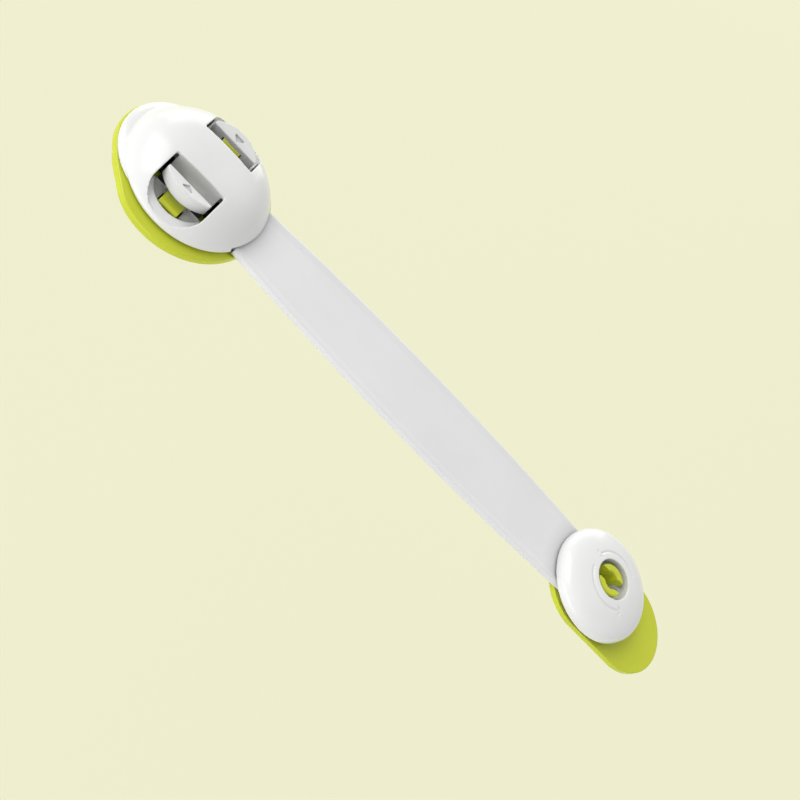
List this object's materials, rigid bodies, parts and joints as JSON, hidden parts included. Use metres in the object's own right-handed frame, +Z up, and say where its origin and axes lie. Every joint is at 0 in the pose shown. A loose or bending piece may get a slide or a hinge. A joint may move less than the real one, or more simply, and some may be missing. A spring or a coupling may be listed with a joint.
{
  "type": "child safety lock",
  "caption": "Strap lock for drawers and doors: round latch head with side push buttons, flexible strap, and a foot that swivels on a snap post, both ends on adhesive pads.",
  "frame": {"origin": "middle of the latch pad's adhesive underside, straight below the middle of the latch head", "axes": "+X along the strap from the latch head to the swivel end, +Z up away from the surface that the lock is stuck to"},
  "size_m": [0.1975, 0.0434, 0.0126],
  "materials": {
    "white_plastic": "satin white moulded ABS",
    "green_plastic": "lime green moulded ABS",
    "dark_plastic": "plain black moulded plastic",
    "strap_rubber": "soft white elastomer",
    "pad_foam": "matt foam tape",
    "steel": "plain steel"
  },
  "bodies": {
    "latch": {"latch_pad": "pad_foam", "latch_base": "green_plastic", "latch_cover": "white_plastic", "button_retainer": "dark_plastic", "retainer_screw_1": "steel", "retainer_screw_2": "steel", "retainer_screw_3": "steel", "retainer_screw_4": "steel", "button_spring_left": "steel", "button_spring_right": "steel", "strap_root": "strap_rubber"},
    "left_button": {"button_left": "white_plastic"},
    "right_button": {"button_right": "white_plastic"},
    "strap_1": {"strap_link_1": "strap_rubber"},
    "strap_2": {"strap_link_2": "strap_rubber"},
    "strap_3": {"strap_link_3": "strap_rubber"},
    "strap_4": {"strap_link_4": "strap_rubber"},
    "strap_5": {"strap_link_5": "strap_rubber"},
    "strap_end": {"strap_tail": "strap_rubber", "swivel_cap": "white_plastic"},
    "swivel_foot": {"swivel_base": "green_plastic", "swivel_pad": "pad_foam"}
  },
  "joints": [
    {"name": "left_button_press", "type": "slide", "parent": "latch", "child": "left_button", "axis": [0, -1, 0], "range_m": [0, 0.003], "stiffness_N_per_m": 700, "springref_m": -0.003, "deforming": ["button_spring_left"]},
    {"name": "right_button_press", "type": "slide", "parent": "latch", "child": "right_button", "axis": [0, 1, 0], "range_m": [0, 0.003], "stiffness_N_per_m": 700, "springref_m": -0.003, "deforming": ["button_spring_right"]},
    {"name": "strap_bend", "type": "hinge", "parent": "latch", "child": "strap_1", "pos_m": [0.028, 0, 0.0039], "axis": [0, 1, 0], "range_deg": [-7.5, 15], "stiffness_Nm_per_rad": 0.03},
    {"name": "strap_bend_2", "type": "hinge", "parent": "strap_1", "child": "strap_2", "pos_m": [0.046, 0, 0.0039], "axis": [0, 1, 0], "range_deg": [-7.5, 15], "stiffness_Nm_per_rad": 0.03},
    {"name": "strap_bend_3", "type": "hinge", "parent": "strap_2", "child": "strap_3", "pos_m": [0.064, 0, 0.0039], "axis": [0, 1, 0], "range_deg": [-7.5, 15], "stiffness_Nm_per_rad": 0.03},
    {"name": "strap_bend_4", "type": "hinge", "parent": "strap_3", "child": "strap_4", "pos_m": [0.082, 0, 0.0039], "axis": [0, 1, 0], "range_deg": [-7.5, 15], "stiffness_Nm_per_rad": 0.03},
    {"name": "strap_bend_5", "type": "hinge", "parent": "strap_4", "child": "strap_5", "pos_m": [0.1, 0, 0.0039], "axis": [0, 1, 0], "range_deg": [-7.5, 15], "stiffness_Nm_per_rad": 0.03},
    {"name": "strap_bend_6", "type": "hinge", "parent": "strap_5", "child": "strap_end", "pos_m": [0.118, 0, 0.0039], "axis": [0, 1, 0], "range_deg": [-7.5, 15], "stiffness_Nm_per_rad": 0.03},
    {"name": "foot_swivel", "type": "hinge", "parent": "strap_end", "child": "swivel_foot", "pos_m": [0.147, 0, 0.005], "axis": [0, 0, 1], "continuous": true}
  ],
  "couplings": [
    {"joint": "strap_bend_2", "follows": "strap_bend", "ratio": 1},
    {"joint": "strap_bend_3", "follows": "strap_bend", "ratio": 1},
    {"joint": "strap_bend_4", "follows": "strap_bend", "ratio": 1},
    {"joint": "strap_bend_5", "follows": "strap_bend", "ratio": 1},
    {"joint": "strap_bend_6", "follows": "strap_bend", "ratio": 1}
  ]
}
